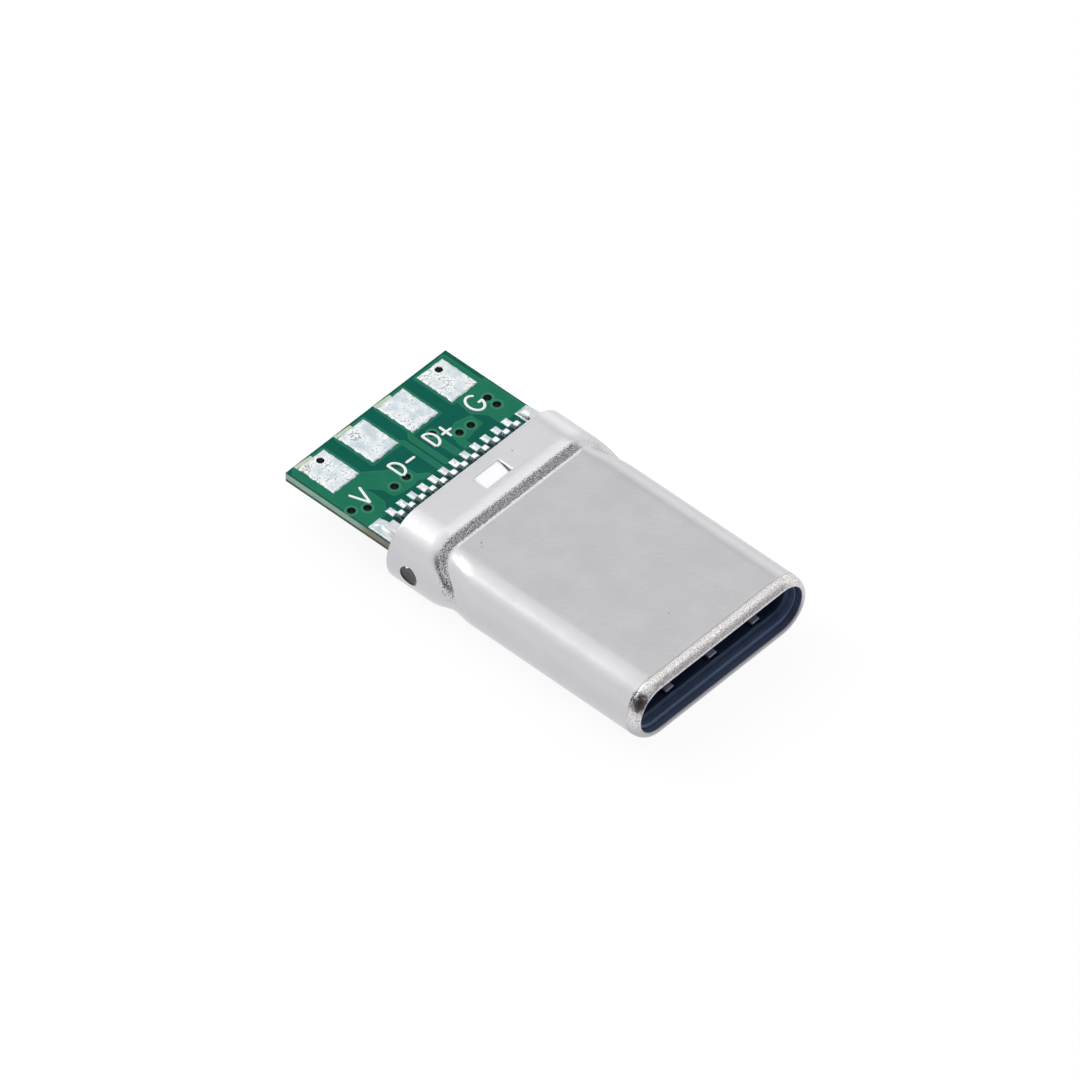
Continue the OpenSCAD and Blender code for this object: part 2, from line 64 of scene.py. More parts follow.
class Wire:
    """One socket of a node tree; arithmetic on it adds Math nodes to that tree."""

    def __init__(self, tree, socket=None):
        self.tree = tree
        self.socket = socket

    def node(self, kind, settings=None, sockets=None, output=0):
        """Adds a node of that kind and returns the output asked for."""
        made = self.tree.nodes.new(kind)
        for name, value in (settings or {}).items():
            setattr(made, name, value)
        for name, value in (sockets or {}).items():
            if isinstance(value, Wire):
                self.tree.links.new(value.socket, made.inputs[name])
            else:
                made.inputs[name].default_value = value
        return Wire(self.tree, made.outputs[output])

    def math(self, operation, *values):
        return self.node("ShaderNodeMath", {"operation": operation}, dict(enumerate(values)))

    def __add__(self, other):
        return self.math("ADD", self, other)

    def __sub__(self, other):
        return self.math("SUBTRACT", self, other)

    def __rsub__(self, other):
        return self.math("SUBTRACT", other, self)

    def __mul__(self, other):
        return self.math("MULTIPLY", self, other)

    def __truediv__(self, other):
        return self.math("DIVIDE", self, other)

    def __rtruediv__(self, other):
        return self.math("DIVIDE", other, self)

    __radd__ = __add__
    __rmul__ = __mul__


def surface(name, fixed, varying):
    """A material of one shader: fixed socket values, and links that varying(wire) works out."""
    material = bpy.data.materials.new(name)
    material.use_nodes = True
    tree = material.node_tree
    shader = tree.nodes["Principled BSDF"]
    for socket, value in fixed.items():
        shader.inputs[socket].default_value = value
    for socket, wire in varying(Wire(tree)).items():
        tree.links.new(wire.socket, shader.inputs[socket])
    return material


def tint(red, green, blue):
    """A colour as it is seen on a screen, from 0 to 255, as linear light."""
    seen = np.array([red, green, blue])/255
    linear = np.where(seen <= 0.04045, seen/12.92, ((seen + 0.055)/1.055)**2.4)
    return (*map(float, linear), 1.0)


def place_mm(wire):
    """Where a point of the part lies, in millimetres."""
    place = wire.node("ShaderNodeTexCoord", output="Object")
    return wire.node("ShaderNodeVectorMath", {"operation": "SCALE"}, {0: place, "Scale": 1/MM})


def along(place, axis):
    """One coordinate of a place."""
    return place.node("ShaderNodeSeparateXYZ", None, {0: place}, output=axis)


def grain(place, per_mm, detail=3.0):
    """Cloudy noise from 0 to 1 with that many cells to the millimetre."""
    sockets = {"Vector": place, "Scale": per_mm, "Detail": detail}
    return place.node("ShaderNodeTexNoise", None, sockets)


def ease(value, low, high):
    """0 at low and 1 at high, with a smooth change between them."""
    settings = {"interpolation_type": "SMOOTHSTEP"}
    sockets = {"Value": value, "From Min": low, "From Max": high}
    return value.node("ShaderNodeMapRange", settings, sockets)


def mix(share, first, second):
    """The first colour where share is 0 and the second where it is 1."""
    sockets = {0: share, 6: first, 7: second}
    return share.node("ShaderNodeMix", {"data_type": "RGBA"}, sockets, output=2)


def bump(height, depth_mm):
    """The normal of a surface with that relief, in which a height of 1 is depth_mm."""
    return height.node("ShaderNodeBump", None, {"Height": height, "Distance": depth_mm*MM})


def moulded(name, dark, pale, rough, front_y=None):
    """Satin moulded plastic with a fine spark texture, painted paler near front_y as painted light
    on the front face, with the deeper parts left dark as shade.
    """
    front_lit_from, front_lit_full = 0.5, 0.05
    front_lit_dark, front_lit_pale = tint(66, 84, 114), tint(88, 106, 136)

    def varying(wire):
        place = place_mm(wire)
        cloud = grain(place, 3.0)
        spark = grain(place, 22.0)
        colour = mix(cloud, dark, pale)
        if front_y is not None:
            # Painted light: the front face is painted paler than the deeper parts, which stand in
            # shade.
            front_lit = ease(along(place, "Y"), front_y + front_lit_from, front_y + front_lit_full)
            colour = mix(front_lit, colour, mix(cloud, front_lit_dark, front_lit_pale))
        return {
            "Base Color": colour,
            "Roughness": rough + 0.16*(cloud - 0.5),
            "Normal": bump(spark, 0.006),
        }
    return surface(name, {"Specular IOR Level": 0.5}, varying)


def dress(names, material, edge_mm):
    """Gives solids of the frame their finish and breaks their sharp edges."""
    weld_mm, sharp_deg = 0.0002, 35
    for name in names:
        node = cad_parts[name]
        node.data.materials.clear()
        node.data.materials.append(material)
        weld = node.modifiers.new("joined corners", "WELD")
        weld.merge_threshold = weld_mm*MM
        bevel = node.modifiers.new("broken edges", "BEVEL")
        bevel.width = edge_mm*MM
        bevel.segments = 2
        bevel.limit_method = "ANGLE"
        bevel.angle_limit = math.radians(sharp_deg)
        node.modifiers.new("even normals", "WEIGHTED_NORMAL")


def box_mm(node):
    """The lowest and the highest corner of a solid of the frame, in millimetres."""
    return [np.array(corner)/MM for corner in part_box(node)]


insulator_low, _ = box_mm("plug_housing")
navy_dark, navy_pale = tint(24, 36, 60), tint(38, 54, 82)
navy_plastic = moulded(
    "navy_insulator", navy_dark, navy_pale, rough=0.32, front_y=insulator_low[1])
dress(["plug_housing"], navy_plastic, edge_mm=0.03)

# Contact carriers: two dark mouldings that grip the rear of the contact rows above and
# below the latch plate. They are moulded round the strips and close the back of the nose.
carrier_plastic = moulded("carrier_moulding", tint(20, 21, 24), tint(34, 35, 38), rough=0.46)
dress(["upper_carrier", "lower_carrier"], carrier_plastic, edge_mm=0.02)


# Shield springs and latch plate: bare spring sheet, pressed and bent. The springs lie in
# the walls of the insulator with three fingers each, and the plate lies between the rows
# with an arm at each end of the slot and two legs that are soldered to the board.
def stretched(place, per_mm):
    """The place in cells that have their own number to the millimetre along each axis."""
    return place.node("ShaderNodeMapping", None, {"Vector": place, "Scale": per_mm})


def sheet_metal(name, dark, pale, rough):
    """Rolled sheet with fine lines along the strip and a little stain."""
    def varying(wire):
        place = place_mm(wire)
        lines = grain(stretched(place, (30.0, 2.0, 30.0)), 1.0, 2.0)
        stain = grain(place, 5.0)
        return {
            "Base Color": mix(stain, dark, pale),
            "Roughness": rough + 0.2*(lines - 0.5),
            "Normal": bump(lines, 0.004),
        }
    return surface(name, {"Metallic": 1.0}, varying)


spring_sheet = sheet_metal("spring_sheet", tint(170, 180, 200), tint(198, 208, 224), rough=0.5)
latch_sheet = sheet_metal("latch_sheet", tint(206, 207, 209), tint(236, 236, 237), rough=0.36)
dress(["upper_shield_spring", "lower_shield_spring"], spring_sheet, edge_mm=0.02)
dress(["latch_plate"], latch_sheet, edge_mm=0.02)

# Contacts: narrow strips of plated copper alloy, bent to a springing bump in the slot and
# to a solder tail on the board. The end of each tail is tinned bright, and the leg behind
# it is painted dark teal as painted shade under the collar and a painted reflection of the board.
contact_names = sorted(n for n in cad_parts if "_contact_" in n and n[-2:].isdigit())
tail_end_y = box_mm("upper_contact_01")[1][1]
tinned_l, tinned_fade = 0.17, 0.06
gilded_y, gilded_fade = -0.4, 0.4


def tinned_tail(wire):
    """Gilt in the slot, dark teal on the leg as painted shade and a painted reflection of the
    board, and bright tin at the end of the tail.
    """
    place = place_mm(wire)
    stain = grain(place, 7.0)
    wavy = along(place, "Y") + 0.12*(stain - 0.5)
    tinned_y = tail_end_y - tinned_l
    tinned = ease(wavy, tinned_y - tinned_fade, tinned_y)
    gilded = ease(wavy, gilded_y + gilded_fade, gilded_y)
    # Painted shade and painted reflection: the leg is dark teal where the collar shades it and the
    # green board is mirrored in it.
    leg_shade = mix(stain, tint(40, 66, 72), tint(92, 116, 120))
    tail_colour = mix(tinned, leg_shade, tint(246, 247, 248))
    return {
        "Base Color": mix(gilded, tail_colour, tint(226, 190, 112)),
        "Roughness": 0.3 + 0.2*tinned + 0.2*(stain - 0.5),
        "Normal": bump(grain(place, 18.0), 0.008),
    }


plated_contact = surface("plated_contact", {"Metallic": 1.0}, tinned_tail)
dress(contact_names, plated_contact, edge_mm=0.03)

# Shell: one piece of steel, deep drawn with a full round nose, a rolled lip and a step up
# to a taller collar, then nickel plated. A window is lanced in the top of the collar and a
# round hole is punched in each end.
shell_low, shell_high = box_mm("plug_shell")
axis_z = float(shell_low[2] + shell_high[2])/2
collar_w, collar_h = (float(shell_high[k] - shell_low[k]) for k in (0, 2))
mouth_y, collar_back_y = float(shell_low[1]), float(shell_high[1])
nose_w, nose_h, wall = 8.25, 2.4, 0.28
lip_l, mouth_r, rear_r = 0.42, 0.07, 0.06
crease_w, crease_depth = 0.06, 0.014
collar_len, step_len = 1.45, 0.55
step_y = collar_back_y - collar_len - step_len
apron_l, straight_slope_deg = 0.07, 42.0
step_bends = [
    (0.15, 0.0, 11.0), (0.04, 11.0, 42.0), (0.3, 42.0, 20.0), (0.7, 20.0, 8.0), (2.0, 8.0, 0.0),
]
foot_sweep, crown_sweep, sweep_power = 1.1, 0.75, 4
sweep_start_y, sweep_fade = -3.0, 0.55
corner_dent, dent_l, dent_power = 0.1, 1.0, 1.5
inner_start, inner_lag, crease_run, foot_gap = 0.01, 0.05, 0.03, 0.02
window_w, window_l, window_y = 1.2, 0.58, collar_back_y - 0.83
window_rim, wide_rim, rim_fall = 0.05, 2.2, 0.03
side_hole_r, side_hole_y = 0.375, collar_back_y - 1.0
tiny = 1e-6


def sheet_mesh(name, outer, inner, keep=None, closed=False, smooth_deg=40.0):
    """A solid sheet between two grids of points, [row, column, xyz] in millimetres.
    keep says which cells stay, and walls close the sheet along every edge of those."""
    rows, columns = outer.shape[:2]
    across = columns if closed else columns - 1
    kept = np.ones((rows - 1, across), bool) if keep is None else keep

    def at(i, j):
        return i*columns + j % columns

    def stays(i, j):
        j = j % across if closed else j
        return 0 <= i < rows - 1 and 0 <= j < across and kept[i, j]

    back = rows*columns
    faces, walls = [], []
    for i, j in np.argwhere(kept):
        a, b, c, d = at(i, j), at(i, j + 1), at(i + 1, j + 1), at(i + 1, j)
        faces.append((a, b, c, d))
        faces.append((back + d, back + c, back + b, back + a))
        sides = ((i - 1, j, a, b), (i, j + 1, b, c), (i + 1, j, c, d), (i, j - 1, d, a))
        walls += [(q, p, back + p, back + q) for m, n, p, q in sides if not stays(m, n)]
    loops = np.array(faces + walls)
    used = np.unique(loops)
    points = np.concatenate([outer.reshape(-1, 3), inner.reshape(-1, 3)])[used]*MM
    mesh = bpy.data.meshes.new(name)
    mesh.from_pydata(points.tolist(), [], np.searchsorted(used, loops).tolist())
    mesh.polygons.foreach_set("use_smooth", [True]*len(loops))
    mesh.set_sharp_from_angle(angle=math.radians(smooth_deg))
    made = bpy.data.objects.new(name, mesh)
    bpy.context.scene.collection.objects.link(made)
    return made, used, len(walls)


def note_points(made, used, name, outer, inner):
    """Keeps one number for each point of a sheet, for its material to read."""
    values = np.concatenate([np.ravel(outer), np.ravel(inner)])[used]
    made.data.attributes.new(name, "FLOAT", "POINT").data.foreach_set("value", values)


def punched(first, second, holes):
    """Cells of a grid that lie outside round holes; the points on each rim move onto its circle."""
    middle = [(g[:-1, :-1] + g[1:, :-1] + g[:-1, 1:] + g[1:, 1:])/4 for g in (first, second)]
    keep = np.ones(middle[0].shape, bool)
    for p, q, radius in holes:
        inside = np.hypot(middle[0] - p, middle[1] - q) < radius
        keep &= ~inside
        touched = np.zeros(first.shape, int)
        for di in (0, 1):
            for dj in (0, 1):
                touched[di:di + inside.shape[0], dj:dj + inside.shape[1]] += inside
        rim = (touched > 0) & (touched < 4)
        reach = np.hypot(first - p, second - q)
        first[rim] = (p + (first - p)*radius/reach)[rim]
        second[rim] = (q + (second - q)*radius/reach)[rim]
    return keep


def stations(*pieces):
    """Joins runs of evenly spaced stations, (first, last, steps), into one line."""
    runs = [np.linspace(first, last, steps, endpoint=False) for first, last, steps in pieces]
    return np.concatenate([*runs, [pieces[-1][1]]])


def smooth(share):
    """A share from 0 to 1 with a soft start and end."""
    share = np.clip(share, 0, 1)
    return share*share*(3 - 2*share)


def lip_line():
    """The lip from the inside of the mouth outwards, as (y, radius about the core of the nose)."""
    front_r = nose_h/2 - wall + mouth_r
    inside = [(mouth_y + mouth_r*(1 - math.sin(a)), front_r - mouth_r*math.cos(a))
              for a in np.linspace(0, math.pi/2, 8, endpoint=False)]
    outside = [(mouth_y + lip_l*(1 - math.cos(a)), front_r + (nose_h/2 - front_r)*math.sin(a))
               for a in np.linspace(0, math.pi/2, 20)]
    crease = [(mouth_y + lip_l + crease_w*s, nose_h/2 - crease_depth*math.sin(math.pi*s))
              for s in np.linspace(0, 1, 7)[1:]]
    return inside + outside + crease


def step_line():
    """The step in profile from nose to collar, as (y, share of the rise). A short apron
    and a steep straight lie between bends of (radius, first slope, last slope)."""
    rise = (collar_h - nose_h)/2
    bends = [(r, math.radians(first), math.radians(last)) for r, first, last in step_bends]
    bent_rise = sum(r*abs(math.cos(a) - math.cos(b)) for r, a, b in bends)
    apron_slope, slope = bends[0][2], math.radians(straight_slope_deg)
    straight_l = (rise - bent_rise - apron_l*math.sin(apron_slope))/math.sin(slope)
    straights = {0: (apron_l, apron_slope), 1: (straight_l, slope)}
    line = [np.zeros(2)]
    for number, (r, first, last) in enumerate(bends):
        turns = np.linspace(first, last, 9)
        for a, b in zip(turns, turns[1:]):
            turn = [abs(math.sin(b) - math.sin(a)), abs(math.cos(b) - math.cos(a))]
            line.append(line[-1] + r*np.array(turn))
        if number in straights:
            length, lean = straights[number]
            line.append(line[-1] + length*np.array([math.cos(lean), math.sin(lean)]))
    return [(float(step_y - apron_l + y), float(z/rise)) for y, z in line]


nose_core, collar_core = (nose_w - nose_h)/2, (collar_w - collar_h)/2
lip, step = lip_line(), step_line()
lip_end_y, foot_y, crown_end_y = lip[-1][0], step[0][0], step[-1][0]
rows_out = [(y, nose_core, r) for y, r in lip]
inner_ys = np.linspace(mouth_y + mouth_r + inner_start, lip_end_y + inner_lag, len(lip))
rows_in = [(y, nose_core, nose_h/2 - wall) for y in inner_ys]
crease_end_y = lip_end_y + crease_run
for y in stations((lip_end_y, crease_end_y, 2), (crease_end_y, foot_y - foot_gap, 46))[1:]:
    lag = inner_lag*(foot_y - y)/(foot_y - lip_end_y)
    rows_out.append((y, nose_core, nose_h/2))
    rows_in.append((y + lag, nose_core, nose_h/2 - wall))
for y, share in step:
    core = nose_core + (collar_core - nose_core)*share
    radius = nose_h/2 + (collar_h - nose_h)/2*share
    rows_out.append((y, core, radius))
    rows_in.append((y, core, radius - wall))
front_y, rear_y = window_y - window_l/2, window_y + window_l/2
for y in stations(
    (crown_end_y, front_y - window_rim, 6), (front_y - window_rim, front_y, 2),
    (front_y, rear_y, 12), (rear_y, rear_y + window_rim, 2),
    (rear_y + window_rim, collar_back_y - rear_r, 9),
)[1:]:
    rows_out.append((y, collar_core, collar_h/2))
    rows_in.append((y, collar_core, collar_h/2 - wall))
for a in np.linspace(0, math.pi/2, 6)[1:]:
    rear = collar_back_y - rear_r*(1 - math.sin(a))
    rows_out.append((rear, collar_core, collar_h/2 - rear_r*(1 - math.cos(a))))
    rows_in.append((rear, collar_core, collar_h/2 - wall))

half_window = window_w/2/collar_core
rim_share = window_rim/collar_core
right_rim = half_window + wide_rim*rim_share
flat = stations(
    (-1, -half_window - rim_share, 14), (-half_window - rim_share, -half_window, 2),
    (-half_window, half_window, 16), (half_window, right_rim, 3), (right_rim, 1, 14),
)[:-1]
half_turn = np.linspace(0, math.pi, 56, endpoint=False)


def round_band(rows):
    """Points of a full round band: flat top, right end, flat underside and left end.
    Round the two ends the step sweeps forwards, and the corners of the nose in front of it
    are drawn in, as the press leaves them."""
    band = []
    for y, core, radius in rows:
        risen = np.clip((core - nose_core)/(collar_core - nose_core), 0, 1)
        reach = smooth((y - sweep_start_y)/(foot_y - sweep_start_y))
        reach *= 1 - smooth((y - crown_end_y)/sweep_fade)
        swept = reach*(foot_sweep + (crown_sweep - foot_sweep)*risen)
        dent = corner_dent*smooth((y - foot_y + dent_l)/dent_l)*(1 - risen)
        end = []
        for a in half_turn:
            r = radius - dent*abs(math.sin(2*a))**dent_power
            end.append((core + r*math.sin(a), y - swept*math.sin(a)**sweep_power, r*math.cos(a)))
        top = [(core*t, y, axis_z + radius) for t in flat]
        right = [(p, q, axis_z + r) for p, q, r in end]
        under = [(-core*t, y, axis_z - radius) for t in flat]
        left = [(-p, q, axis_z - r) for p, q, r in end]
        band.append(top + right + under + left)
    return np.array(band)


def end_x(points, rows, moved):
    """Puts points that were moved on the round ends back onto the wall."""
    core = np.array([row[1] for row in rows])[:, None]
    radius = np.array([row[2] for row in rows])[:, None]
    height = points[..., 2] - axis_z
    x = np.sign(points[..., 0])*(core + np.sqrt(np.maximum(radius**2 - height**2, 0)))
    points[..., 0] = np.where(moved, x, points[..., 0])


shell_out, shell_in = round_band(rows_out), round_band(rows_in)
looped = np.concatenate([shell_out, shell_out[:, :1]], axis=1)
shell_keep = punched(looped[..., 1], looped[..., 2], [(side_hole_y, axis_z, side_hole_r)])
moved = np.abs(looped[:, :-1] - shell_out).max(-1) > tiny
shell_out = looped[:, :-1].copy()
shell_in[moved, 1:] = shell_out[moved, 1:]
end_x(shell_out, rows_out, moved)
end_x(shell_in, rows_in, moved)
on_top = shell_out[..., 2] > axis_z + collar_h/2 - tiny
rim = on_top & (np.abs(shell_out[..., 0]) < window_w/2 + tiny)
rim &= np.abs(shell_out[..., 1] - window_y) < window_l/2 + tiny
next_rim = np.roll(rim, -1, 1)
shell_keep &= ~(rim[:-1] & next_rim[:-1] & rim[1:] & next_rim[1:])
shell_out[rim, 2] -= rim_fall


def noted(wire, name):
    """The number that note_points kept under that name, or 0 where none was kept."""
    return wire.node("ShaderNodeAttribute", {"attribute_name": name}, output="Fac")


def nickel(name, dents_and_shade=()):
    """Bright nickel on drawn steel: smooth on the flats, gritty and warm at the lip, gritty and
    darkened by painted shade at the step, paler on the collar top as a painted highlight, rough
    at the cut edges and bare deep inside, with a navy painted reflection on the inner wall near
    the mouth, and a few small dents and one wide painted dark reflection at the lip's left
    corner, each given by its place, reach and strength."""
    def varying(wire):
        place = place_mm(wire)
        x, y, z = (along(place, axis) for axis in "XYZ")
        cloud = grain(place, 0.9)
        peel = grain(place, 6.0, 4.0)
        grit = grain(place, 24.0, 3.0)
        speck = grain(place, 34.0, 2.0)
        inside = noted(wire, "inside")
        deep = ease(y, mouth_y + 1.0, mouth_y + 2.0)
        upper = ease(z, axis_z - 0.5, axis_z + 0.3)
        lip_ring = ease(y, lip_end_y, lip_end_y - 0.1)*(1 - inside)
        lip_zone = lip_ring*upper
        # Painted shade: the step is painted darker, most on its left part, where the dark room in
        # front is mirrored in it; the flecks and the bump are its real grit.
        left_share = 0.2 + 0.8*ease(x, nose_core + 0.3, nose_core - 0.4)
        step_shade_and_grit = noted(wire, "on_step")*left_share*ease(z, axis_z - 0.1, axis_z + 0.5)
        # Painted highlight: the top of the collar is painted paler, as light falling on it.
        collar_top = ease(y, step_y + 0.3, crown_end_y)*ease(z, axis_z + 0.9, axis_z + 1.4)
        rear_edge = ease(y, collar_back_y - 0.08, collar_back_y - 0.04)*(1 - inside)
        cut_edge = lip_ring*(1 - upper) + rear_edge
        flecks = ease(grit, 0.36, 0.62)
        colour = mix(0.4*cloud + 0.6*speck, tint(190, 189, 193), tint(218, 218, 220))
        colour = mix(0.5*collar_top, colour, tint(240, 239, 241))
        colour = mix(lip_zone, colour, mix(flecks, tint(180, 174, 177), tint(242, 240, 239)))
        colour = mix(step_shade_and_grit, colour, mix(flecks, tint(120, 118, 124), tint(232, 230, 234)))
        height = 0.25*peel + 0.15*speck + (0.7*lip_zone + step_shade_and_grit)*grit
        # Each mark darkens and sinks the metal; the widest one is a painted dark reflection, not a
        # dent.
        for *spot, reach, strength in dents_and_shade:
            settings, sockets = {"operation": "DISTANCE"}, {0: place, 1: spot}
            away = place.node("ShaderNodeVectorMath", settings, sockets, output="Value")
            mark = ease(away + 1.2*reach*(peel - 0.5), reach, 0.4*reach)*strength
            colour = mix(mark, colour, tint(66, 60, 64))
            height = height - 1.2*mark
        # Painted reflection: near the mouth the inner wall is tinted navy as the mirrored
        # insulator; deep inside it is bare pale steel.
        inside_reflection_and_bare = mix(deep, tint(130, 142, 170), tint(204, 203, 206))
        rough = 0.22 + 0.08*(cloud - 0.5) + 0.06*lip_zone + 0.04*step_shade_and_grit
        return {
            "Base Color": mix(inside, colour, inside_reflection_and_bare),
            "Metallic": 1 - 0.9*inside*deep,
            "Roughness": rough + 0.3*inside + 0.4*cut_edge,
            "Normal": bump(height, 0.012),
        }
    return surface(name, {"Metallic": 1.0}, varying)


nose_top_z, collar_top_z = axis_z + nose_h/2, axis_z + collar_h/2
dents_and_lip_shade = [
    (1.21, collar_back_y - 0.56, collar_top_z, 0.05, 0.5),
    (-0.48, mouth_y + 1.93, nose_top_z, 0.045, 0.4),
    (-2.3, step_y - 0.48, nose_top_z, 0.05, 0.5),
    (-2.42, step_y - 0.62, nose_top_z, 0.045, 0.4),
    # Painted dark reflection: this wide mark darkens the lip's left corner where the room in front
    # is mirrored; the marks above are real small dents.
    (-3.8, mouth_y + 0.17, axis_z + 0.76, 0.42, 0.9),
]
shell, used, _ = sheet_mesh("plug_shell_skin", shell_out, shell_in, shell_keep, closed=True)
plain = np.zeros(shell_out.shape[:2])
risen = np.array([(core - nose_core)/(collar_core - nose_core) for _, core, _ in rows_out])
grit_from, grit_to, grit_fade = 0.1, 0.7, 0.2
on_step = smooth(risen/grit_from)*(1 - smooth((risen - grit_to)/grit_fade))
note_points(shell, used, "inside", plain, plain + 1)
note_points(shell, used, "on_step", plain + on_step[:, None], plain)
shell.data.materials.append(nickel("nickel_shell", dents_and_lip_shade))
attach(shell, "root")
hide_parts("plug_shell")

# Window tab: the tongue of the shell's own metal that was lanced free on three sides and
# pressed in at its front, so that it grips the insulator. It stays joined along its rear.
tab_t, tab_drop, tab_bend, tab_seat = 0.12, 0.13, 1.2, 0.01
side_from, side_fall = 0.88, 0.15
left_slit, front_slit, right_slit = 0.012, 0.02, 0.025


def cells(low, high, columns, rows):
    """The places of a grid over a rectangle."""
    return np.meshgrid(np.linspace(low[0], high[0], columns), np.linspace(low[1], high[1], rows))


def layer(x, y, z):
    """Points over the places of a grid, all at one height or each at its own."""
    return np.stack([x, y, np.broadcast_to(z, x.shape)], -1)


tab_low = (-window_w/2 + left_slit, front_y + front_slit)
tab_high = (window_w/2 - right_slit, rear_y + rim_fall)
tab_x, tab_y = cells(tab_low, tab_high, columns=24, rows=16)
tab_share = (tab_y - tab_y.min())/np.ptp(tab_y)
tab_sink = tab_drop*(1 - tab_share)**tab_bend + tab_seat
tab_edge = np.maximum(np.abs(tab_x)/(window_w/2) - side_from, 0)*side_fall
tab_top = layer(tab_x, tab_y, collar_top_z - tab_sink - tab_edge)
tab, _, _ = sheet_mesh("window_tab", tab_top, tab_top - [0, 0, tab_t])
tab.data.materials.append(nickel("nickel_tab"))
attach(tab, "root")

# Circuit board: thin glass laminate with copper on both faces under green solder mask,
# drilled and plated, then cut from its panel. Its front edge sits between the two rows of
# tails. Where copper lies under the mask, the face is a little higher and paler.
board_low, board_high = box_mm("circuit_board")
left_x, right_x, back_y = board_low[0], board_high[0], board_high[1]
copper_t = 0.02
via_r, via_pad_r = 0.12, 0.23
# Vias, pours, tracks and printed marks are placed by x and the distance behind the collar.
via_places = [
    (left_x + 0.205, 2.1), (left_x + 0.655, 1.8), (-1.85, 1.82), (-1.27, 1.83), (0.72, 2.55),
    (1.37, 1.94), (1.87, 1.9), (right_x - 0.655, 2.35), (right_x - 0.665, 1.92),
]
wire_pad_names = ["wire_pad_v", "wire_pad_d_minus", "wire_pad_d_plus", "wire_pad_g"]
wire_pads = [box_mm(name) for name in wire_pad_names]
wire_hole_r, wire_hole_side, wire_hole_rear = 0.14, 0.464, 0.288
wire_holes = [(high[0] - wire_hole_side, high[1] - wire_hole_rear, wire_hole_r)
              for _, high in (wire_pads[0], wire_pads[3])]
row_end, pour_gap = 1.36, 0.12
left_pour_x, right_pour_x = left_x + pour_gap, right_x - pour_gap
pours = [
    [(left_pour_x, 1.21), (left_pour_x, 4.61), (-3.5, 4.61), (-3.5, 2.96), (-2.75, 2.96),
     (-2.6, 2.16), (-2.6, 1.61), (-2.95, 1.21)],
    [(-2.85, 3.01), (-2.25, 3.11), (-1.6, 2.54), (-1.02, 2.06), (-0.98, 1.58), (-1.3, 1.46),
     (-1.75, 1.48), (-2.12, 1.58), (-2.15, 2.01), (-2.7, 2.71)],
    [(1.15, 2.16), (1.6, 2.31), (2.15, 2.16), (2.15, 1.71), (1.7, 1.66), (1.35, 1.61), (1.1, 1.76)],
    [(2.4, 3.01), (right_pour_x, 3.01), (right_pour_x, 1.26), (2.65, 1.26), (2.65, 1.81),
     (2.3, 2.26)],
]
tracks = [
    ([(-0.4, 3.16), (-0.2, 2.96), (-0.2, row_end)], 0.2),
    ([(0.3, 3.11), (0.12, 2.91), (0.12, row_end)], 0.2),
    ([(0.72, 2.55), (0.66, 2.16), (0.66, row_end)], 0.26),
    ([(1.37, 1.94), (1.12, 1.66), (1.12, row_end)], 0.26),
    ([(-1.2, 1.76), (-1.0, 1.56), (-0.75, row_end)], 0.26),
    ([(left_x + 0.3, 4.66), (left_x + 0.3, 1.46)], 0.24),
    ([(right_x - 0.3, 4.66), (right_x - 0.3, 1.46)], 0.24),
]
pour_round, mask_margin, copper_ramp = 0.05, 0.09, 0.05


def line_distance(x, y, first, last):
    """How far points lie from a straight line between two points."""
    (ax, ay), (bx, by) = first, last
    share = np.clip(((x - ax)*(bx - ax) + (y - ay)*(by - ay))/((bx - ax)**2 + (by - ay)**2), 0, 1)
    return np.hypot(x - ax - share*(bx - ax), y - ay - share*(by - ay))


def edge_distance(x, y, corners):
    """How far points lie from a polygon's edge, less than 0 inside it."""
    away = np.full(x.shape, np.inf)
    inside = np.zeros(x.shape, bool)
    for (ax, ay), (bx, by) in zip(corners, corners[1:] + corners[:1]):
        away = np.minimum(away, line_distance(x, y, (ax, ay), (bx, by)))
        if ay != by:
            inside ^= ((ay > y) != (by > y)) & (x < ax + (y - ay)*(bx - ax)/(by - ay))
    return np.where(inside, -away, away)


def track_distance(x, y, points, width):
    """How far points lie from the edge of a copper track along a line of points."""
    away = [line_distance(x, y, first, last) for first, last in zip(points, points[1:])]
    return np.min(away, axis=0) - width/2


def copper_distance(x, y):
    """How far points lie from the edge of the copper under the mask of the upper face."""
    behind = y - collar_back_y
    found = [edge_distance(x, behind, pour) - pour_round for pour in pours]
    found += [track_distance(x, behind, points, width) for points, width in tracks]
    found += [np.hypot(x - p, behind - q) - via_pad_r for p, q in via_places]
    for low, high in wire_pads:
        corners = [(low[0], low[1]), (high[0], low[1]), (high[0], high[1]), (low[0], high[1])]
        found.append(edge_distance(x, y, corners) - mask_margin)
    return np.min(found, axis=0)


board_cell, under_copper = 0.042, -0.2
columns, rows = (round((board_high[k] - board_low[k])/board_cell) for k in (0, 1))
board_x, board_y = cells(board_low, board_high, columns, rows)
drills = [(p, collar_back_y + q, via_r) for p, q in via_places] + wire_holes
board_keep = punched(board_x, board_y, drills)
copper = copper_distance(board_x, board_y)
drill_edge = np.min([np.hypot(board_x - p, board_y - q) - r for p, q, r in drills], axis=0)
raised = smooth(0.5 - copper/copper_ramp)
board_top = layer(board_x, board_y, board_high[2] - copper_t*(1 - raised))
board_under = layer(board_x, board_y, board_low[2])
board, used, side_count = sheet_mesh("board_laminate", board_top, board_under, board_keep)
note_points(board, used, "copper_edge", copper, np.full(copper.shape, under_copper))
note_points(board, used, "drill_edge", drill_edge, drill_edge)


